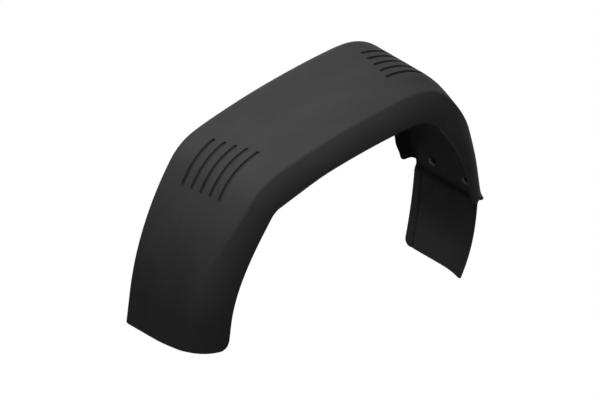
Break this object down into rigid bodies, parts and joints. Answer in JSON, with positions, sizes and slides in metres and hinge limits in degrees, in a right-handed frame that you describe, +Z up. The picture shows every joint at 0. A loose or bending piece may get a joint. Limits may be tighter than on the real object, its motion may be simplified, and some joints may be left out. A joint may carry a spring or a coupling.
{
  "type": "trailer mudguard",
  "caption": "Moulded black plastic trailer mudguard: grooved shoulders over the wheel, a flat flange on the trailer side, and an extension panel bolted behind the rear skirt.",
  "frame": {"origin": "on the flat outer face of the inner flange, below the crest of the shell", "axes": "+Y out of the inner flange's face, towards the trailer's side; +X along the trailer to the rear, where the extension panel hangs; +Z up"},
  "size_m": [0.7872, 0.2234, 0.5621],
  "materials": {
    "shell_plastic": "satin",
    "extension_plastic": "satin",
    "plated_steel": "satin"
  },
  "bodies": {
    "root": {"guard_shell": "shell_plastic", "rear_extension": "extension_plastic", "extension_bolt_1": "plated_steel", "extension_bolt_2": "plated_steel", "inner_washer_1": "plated_steel", "inner_washer_2": "plated_steel", "outer_washer_1": "plated_steel", "outer_washer_2": "plated_steel", "lock_nut_1": "plated_steel", "lock_nut_2": "plated_steel"}
  },
  "joints": []
}
